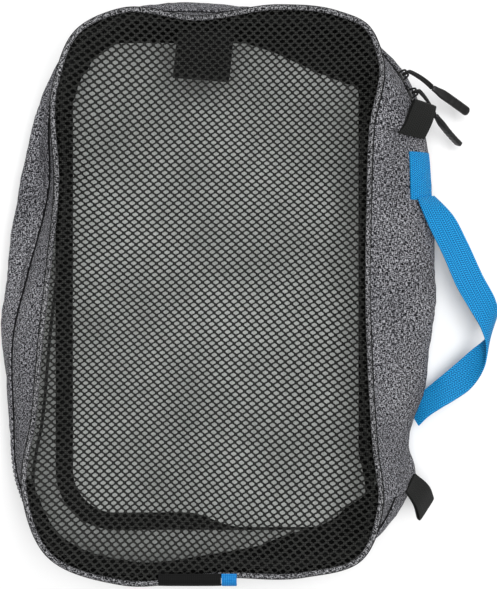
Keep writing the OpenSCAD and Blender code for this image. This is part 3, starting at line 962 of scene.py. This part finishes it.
# ---------------------------------------------------------------- webbing tabs
def folded_tab(name, stations, node):
    """Loop of webbing: out along the stations, round a fold, and back underneath."""
    e = smooth_path(np.array(stations) * MM, 14)
    run = unit(np.gradient(e.mean(1), axis=0))
    normal = unit(np.cross(run, e[:, 1] - e[:, 0]))
    off = 0.0011 * np.clip(np.linspace(0.5, 1.25, len(e)), 0, 1.15)
    lift = (off[:, None] * normal)[:, None]
    fold = []
    for a in np.linspace(0, math.pi, 9)[1:-1]:
        shift = off[-1] * (math.cos(a) * normal[-1] + math.sin(a) * run[-1] * 1.4)
        fold.append(e[-1] + shift[None])
    path = np.concatenate([e + lift, np.array(fold), (e - lift)[::-1]])
    piece = ribbon(name, path, 0.0013, (TAB,), across=9)
    return place(piece, "base", "black_webbing", node)


folded_tab("tab_top", [
    [[127, 98.5, 66.5], [146.5, 96, 54.5]], [[131, 103.5, 67], [149, 101, 54]],
    [[134.5, 112, 65.2], [152.5, 109, 53]], [[138.5, 121, 61], [155, 118, 50]],
], "zip_tab_top")
folded_tab("tab_bottom", [
    [[134.5, -150, 52], [142.5, -140, 38.5]], [[142, -162, 47], [153, -150, 34]],
    [[145, -171, 42], [156.5, -158.5, 30]],
], "zip_tab_bottom")

# ---------------------------------------------------------------- lid
CENTRE = np.array([-0.006, -0.013])
NET_INSET = 0.0006
around = np.linspace(0, STATIONS, 1440, endpoint=False)
rim = LID(around) - NET_INSET * LID.outward(around)
rim_angle = np.mod(np.unwrap(np.arctan2(rim[:, 1] - CENTRE[1], rim[:, 0] - CENTRE[0])), 2 * math.pi)
order = np.argsort(rim_angle)
ANG, RAD, HGT = rim_angle[order], np.linalg.norm(rim[:, :2] - CENTRE, axis=1)[order], rim[order, 2]


def net_share(xy):
    """How far out a point of the lid is, from 0 at its middle to 1 at its seam.

    The seam's reach and height in that direction come with it.
    """
    d = xy - CENTRE
    a = np.mod(np.arctan2(d[..., 1], d[..., 0]), 2 * math.pi)
    reach = np.interp(a, ANG, RAD, period=2 * math.pi)
    return np.linalg.norm(d, axis=-1) / reach, reach, np.interp(a, ANG, HGT, period=2 * math.pi)


NET_LOW = 0.058


def net_height(xy):
    f, _, z = net_share(xy)
    f = np.minimum(f, 1)
    sag = NET_LOW + (z - NET_LOW) * f**2.4
    ripple = wave_noise(xy[..., 0] + 0.4 * xy[..., 1], xy[..., 1], 0.035, 0.06, 41.0) * 1.6
    ripple += wave_noise(xy[..., 0] - xy[..., 1], xy[..., 0] + xy[..., 1], 0.014, 0.05, 45.0) * 0.7
    return sag + ripple * MM * ramp_in(1 - f, 0.0, 0.18)


STEP_A, STEP_B = np.array([2.63, -2.8]) * MM, np.array([3.33, 2.45]) * MM
STRAND_T = 0.0005
HOLE = ((1.8, 0.5), (0.0, 1.54), (-1.8, 0.5), (-1.8, -0.5), (0.0, -1.54), (1.8, -0.5))


def build_net():
    n = 110
    i, j = np.meshgrid(np.arange(-n, n), np.arange(-n, n), indexing="ij")

    def warp(p):
        """Uneven pull in the knit."""
        x, y = p[..., 0], p[..., 1]
        dx = 2.2 * np.sin(x / 0.047 + y / 0.062) + 1.1 * np.sin(y / 0.023 - x / 0.09 + 1.3)
        dy = 2.4 * np.sin(x / 0.058 - y / 0.08 + 0.7) + 0.9 * np.sin(x / 0.026 + y / 0.05)
        return p + np.stack([dx, dy], -1) * MM

    def lattice(a, b):
        return CENTRE + a[..., None] * STEP_A + b[..., None] * STEP_B

    centres = warp(lattice(i + 0.5, j + 0.5))
    share, reach, _ = net_share(centres)
    keep = share < 1 - 0.0004 / reach
    cells = np.argwhere(keep)
    ids, corners, faces = {}, [], []

    def corner(a, b):
        if (a, b) not in ids:
            ids[a, b] = len(corners)
            corners.append((a - n, b - n))
        return ids[a, b]

    quads = [
        (corner(a, b), corner(a + 1, b), corner(a + 1, b + 1), corner(a, b + 1)) for a, b in cells
    ]
    c = np.array(corners, float)
    flat = warp(lattice(c[:, 0], c[:, 1]))
    s, reach, _ = net_share(flat)
    out = s > 1
    flat[out] = CENTRE + (flat[out] - CENTRE) / s[out, None]
    u, w = unit(STEP_A + STEP_B), unit(STEP_B - STEP_A)
    local = np.array([x * MM * u + y * MM * w for x, y in HOLE])
    mid = lattice(cells[:, 0] - n + 0.5, cells[:, 1] - n + 0.5)
    holes = warp(mid[:, None] + local[None])
    s, _, _ = net_share(holes)
    limit = 0.995
    pulled_in = CENTRE + (holes - CENTRE) * (limit / s)[..., None]
    holes = np.where((s > limit)[..., None], pulled_in, holes)
    xy = np.concatenate([flat, holes.reshape(-1, 2)])
    top = np.column_stack([xy, net_height(xy)])
    count, base = len(xy), len(flat)
    walls = []
    for k, (left, low, right, high) in enumerate(quads):
        h = [base + 6 * k + q for q in range(6)]
        faces += [
            (right, high, h[1], h[0]), (high, left, h[2], h[1]), (left, h[3], h[2]),
            (left, low, h[4], h[3]), (low, right, h[5], h[4]), (right, h[0], h[5]),
        ]
        walls += [(a, b, b + count, a + count) for a, b in zip(h, h[1:] + h[:1])]
    under = [tuple(v + count for v in f[::-1]) for f in faces]
    edges = {}
    for left, low, right, high in quads:
        for a, b in ((left, low), (low, right), (right, high), (high, left)):
            if (b, a) in edges:
                del edges[b, a]
            else:
                edges[a, b] = True
    skirt = [(b, a, a + count, b + count) for a, b in edges]
    verts = np.concatenate([top, top - [0, 0, STRAND_T]])
    piece = make_object("lid_net", verts, faces + under + walls + skirt, materials=(NET,), sharp=60)
    return face_outward(piece)


net = build_net()
place(net, "lid", "mesh_net", "lid_mesh")

PIPING_R = 0.0017
t = np.linspace(0, STATIONS, STATIONS * PER_STATION, endpoint=False)
rings = LID(t)[:, None] + circles(PIPING_R, LID.outward(t), np.tile(UP, (len(t), 1)), 14)
place(loft("piping", rings, (PIPING,), closed=True), "lid", "piping", "lid_piping")


def round_lid(name, profile):
    """Tape that runs all round the lid's seam, with a profile given outward and up, in millimetres."""
    q = np.array(profile) * MM
    rings = LID(t)[:, None] + q[None, :, :1] * LID.outward(t)[:, None] + q[None, :, 1:] * UP
    return loft(name, rings, (BINDING,), closed=True)


# Black tape under the piping. It is the piping's seam allowance, and it is dark so that it also paints the shade
# line between the piping and the wall.
flange_and_shade = round_lid("piping_flange_and_shade", [
    (-0.6, -1.3), (1.9, -1.2), (2.7, -2.0), (2.5, -2.6), (1.6, -2.0), (-0.8, -2.0),
])
place(flange_and_shade, "lid", "piping", "lid_piping")
inner = round_lid("seam_binding", [
    (-5.0, -3.8), (-5.3, -6), (-5.4, -8.5), (-5.0, -11.4),
    (-4.2, -11.6), (-4.6, -8.5), (-4.5, -6), (-4.2, -3.8),
])
place(inner, "lid", "binding_tape", "lid_binding")

# ---------------------------------------------------------------- handle
def off_wall(t, v, d):
    """Points of the hinge wall, moved out by d."""
    t, v = np.asarray(t, float), np.asarray(v, float)
    p = hinge_wall(t, v)
    n = unit(np.cross(hinge_wall(t + 0.02, v) - p, hinge_wall(t, v + 0.02) - p))
    return p + d * n


WEB_T, WEB_GAP = 0.0016, 0.0003
SEWN_TOP, SEWN_BOTTOM = (2.15, 2.74, 1.19, 1.5), (-1.15, -0.72, 0.4, 0.9)
LOOP = np.array([
    [[141.5, 54, 62], [155, 57, 46.5]], [[143.5, 49, 61], [158, 54, 47.5]],
    [[150, 35, 57], [167.5, 43.5, 49.5]], [[161, 15, 50], [178, 25, 48]],
    [[172, -8, 45], [190, 1, 44]], [[182, -24, 42], [200, -16, 39]],
    [[189, -36, 43], [203, -25, 33]], [[193, -48, 43], [201, -35, 29]],
    [[193, -59, 41], [196, -44, 28]], [[190, -70, 37], [185, -53, 28]],
    [[184, -80, 32], [176, -61, 27]], [[174, -88, 29], [165, -71, 24]],
    [[162, -95, 29], [156, -80, 18]], [[153, -101, 29.5], [147, -88, 16]],
    [[147, -107, 29], [141.5, -95, 14]],
]) * MM
loop_path = smooth_path(LOOP, 181)
MIDDLE = 90


def on_wall(name, box, counts, high, low, material, slot, node):
    """Tape that follows the wall between two stations and two heights, between two distances from it."""
    t0, t1, v0, v1 = box
    tt, vv = np.meshgrid(np.linspace(t0, t1, counts[0]), np.linspace(v1, v0, counts[1]), indexing="ij")
    piece = slab(name, off_wall(tt, vv, high), off_wall(tt, vv, low), (material,))
    return place(piece, "base", slot, node)


for name, box, node in (
    ("handle_sewn_top", SEWN_TOP, "handle_end_top"),
    ("handle_sewn_bottom", SEWN_BOTTOM, "handle_end_bottom"),
):
    on_wall(name, box, (16, 9), WEB_T + WEB_GAP, WEB_GAP, BLUE, "blue_webbing", node)
for name, part, start, end in (
    ("handle_upper", loop_path[:MIDDLE + 1], (0.150, 0.0545, 0.0565), (0.161, 0.030, 0.052)),
    ("handle_lower", loop_path[MIDDLE:], (0.149, -0.094, 0.022), (0.1695, -0.0795, 0.0265)),
):
    piece = ribbon(name, part, WEB_T, (BLUE,), across=11)
    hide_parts("carry_handle")
    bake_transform(piece)
    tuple(start)
    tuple(end)


STITCH_L, STITCH_SPACE, STITCH_R = 0.0022, 0.0009, 0.00024


def stitches(name, path, material):
    """Row of single stitches along a path of (point, normal)."""
    p, n = np.asarray(path[0], float), np.asarray(path[1], float)
    s = distances(p)
    verts, faces = [], []
    count = max(1, int(s[-1] / (STITCH_L + STITCH_SPACE)))
    for k in range(count):
        at = (k + 0.5) * s[-1] / count + STITCH_L * np.linspace(-0.5, 0.5, 4)
        mid = np.column_stack([np.interp(at, s, p[:, c]) for c in range(3)])
        normal = unit(np.column_stack([np.interp(at, s, n[:, c]) for c in range(3)]))
        run = unit(np.gradient(mid, axis=0))
        side = np.cross(run, normal)
        base = len(verts)
        for q, r, h in ((0, 0.45, -0.6), (1, 1, 0.25), (2, 1, 0.25), (3, 0.45, -0.6)):
            for a in range(6):
                c, d = math.cos(a * math.pi / 3), math.sin(a * math.pi / 3)
                spread = STITCH_R * r * (c * side[q] + d * normal[q])
                verts.append(mid[q] + spread + h * STITCH_R * normal[q])
        for q in range(3):
            for a in range(6):
                here, there = base + q * 6 + a, base + q * 6 + (a + 1) % 6
                faces.append((here, there, there + 6, here + 6))
        faces.append(tuple(base + a for a in range(6))[::-1])
        faces.append(tuple(base + 18 + a for a in range(6)))
    piece = make_object(name, verts, faces, materials=(material,), sharp=60)
    return face_outward(piece)


def wall_line(ends):
    """Path over the sewn webbing between (t, v) points, with its normals."""
    d = WEB_T + WEB_GAP
    points, normals = [], []
    for (t0, v0), (t1, v1) in zip(ends[:-1], ends[1:]):
        u = np.linspace(0, 1, 16)
        tt, vv = t0 + (t1 - t0) * u, v0 + (v1 - v0) * u
        p = off_wall(tt, vv, d)
        points.append(p)
        normals.append(unit(off_wall(tt, vv, d + 0.001) - p))
    return np.concatenate(points), np.concatenate(normals)


rows = []
for k, (t0, t1, v0, v1) in enumerate((SEWN_TOP, SEWN_BOTTOM)):
    a0, a1, b0, b1 = t0 + 0.05, t1 - 0.05, v0 + 0.035, v1 - 0.035
    for name, corners in (
        (f"box_{k}", [(a0, b0), (a1, b0), (a1, b1), (a0, b1), (a0, b0)]),
        (f"cross_{k}a", [(a0, b0), (a1, b1)]),
        (f"cross_{k}b", [(a0, b1), (a1, b0)]),
    ):
        rows.append(stitches(name, wall_line(corners), BLUE_THREAD))
place(join("handle_stitches", rows), "base", "blue_thread", "handle_stitching")


# Reinforcing tape inside the wall, behind each sewn end
for name, box, node in (
    ("patch_top", (2.1, 2.8, 1.14, 1.55), "handle_patch_top"),
    ("patch_bottom", (-1.2, -0.65, 0.4, 0.95), "handle_patch_bottom"),
):
    on_wall(name, box, (14, 8), -WALL_T - 0.0009, -WALL_T - 0.0017, BINDING, "binding_tape", node)

# ---------------------------------------------------------------- seam stitching
for name, face, v, start, end, body, seam in (
    ("stitch_zip_lower", lower_wall, 1.88, T0, T1, "base", None),
    ("stitch_zip_upper_far", upper_wall, 0.1, T0, HALFWAY, None, TOP_SEAM),
    ("stitch_zip_upper_near", upper_wall, 0.1, HALFWAY, T1, None, LOW_SEAM),
):
    tt = np.linspace(start, end, 600)
    vv = np.full_like(tt, v)
    p = face(tt, vv)
    n = unit(np.cross(face(tt + 0.02, vv) - p, face(tt, vv + 0.02) - p))
    piece = stitches(name, (p, n), GREY_THREAD)
    if body:
        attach(piece, body)
    else:
        turning(piece, *seam)

# ---------------------------------------------------------------- labels
inner_edges = smooth_path(np.array([
    [[-24, 167.5, 69], [15, 168.5, 69]], [[-26, 153, 65.5], [13, 152, 65.5]],
    [[-28, 137, 62.5], [11, 134, 62.5]],
]) * MM, 20)
place(ribbon("label_inner", inner_edges, 0.0008, (LABEL,), across=15), "lid", "label_fabric", "inner_label")


def edge_tag(name, x0, x1, material, node, slot):
    profile = [(-199.5, 83.9), (-203.5, 84.9), (-207.2, 82.5), (-209, 77.5), (-209.4, 73)]
    path = smooth_path(np.array([[[x0, y, z], [x1, y, z]] for y, z in profile]) * MM, 24)
    return place(ribbon(name, path, 0.0008, (material,), across=9), "lid", slot, node)


edge_tag("label_edge", -36, 6, LABEL, "edge_label", "label_fabric")
edge_tag("label_edge_end", 6.3, 16.5, LABEL_BLUE, "edge_label_end", "label_blue")


# ---------------------------------------------------------------- soft pieces
def cut(face, start, end):
    """Cut size of a wall strip, before any creases: its mean height, and its length along the fold line."""
    t, v = np.meshgrid(np.linspace(start, end, 200), np.linspace(0, 2, 80), indexing="ij")
    height = norm(np.diff(face(t, v), axis=1)).sum(axis=1).mean()
    length = norm(np.diff(FOLD(t[:, 0]), axis=0)).sum()
    return float(height), float(length)


def plan_area(p):
    x, y = p[:, 0], p[:, 1]
    return abs(float(np.sum(x * np.roll(y, -1) - y * np.roll(x, -1)))) / 2


# The net's cloth is the lid's outline less the open share of one cell of the lattice.
cell = abs(float(STEP_A[0] * STEP_B[1] - STEP_A[1] * STEP_B[0]))
open_share = plan_area(np.array(HOLE) * MM) / cell
rim_line = LID(around)
net_size = np.ptp(rim_line[:, :2], axis=0)
net_cloth = plan_area(rim_line) * (1 - open_share)
cut(lower_wall, HINGE_END, ZIP_END)
cut(hinge_wall, HINGE_START, HINGE_END)

# ---------------------------------------------------------------- floor, light
ground = bpy.data.meshes.new("ground")
corners = [(x, y, -0.0004) for x, y in ((-3, -3), (3, -3), (3, 3), (-3, 3))]
ground.from_pydata(corners, [], [(0, 1, 2, 3)])
ground_object = add_object("ground", ground)
paper = Paint("pale_ground", roughness=0.9, specular=0.1)
paper.shader.inputs["Base Color"].default_value = (0.9, 0.9, 0.9, 1)
ground.materials.append(paper.material)

world = bpy.data.worlds.new("studio")
scene.world = world
world.use_nodes = True
world.node_tree.nodes["Background"].inputs["Color"].default_value = (1, 1, 1, 1)
world.node_tree.nodes["Background"].inputs["Strength"].default_value = 0.3
for name, at, size, power in (
    ("key", (0.15, 0.0, 1.9), 1.0, 35), ("fill", (0.5, 1.1, 1.5), 1.2, 5),
):
    light = bpy.data.lights.new(name, "AREA")
    light.size, light.energy = size, power
    o = add_object(name, light)
    o.location = at
    o.rotation_euler = (Vector(at) - Vector((0, 0, 0.04))).to_track_quat("Z", "Y").to_euler()
scene.view_settings.view_transform = "Standard"
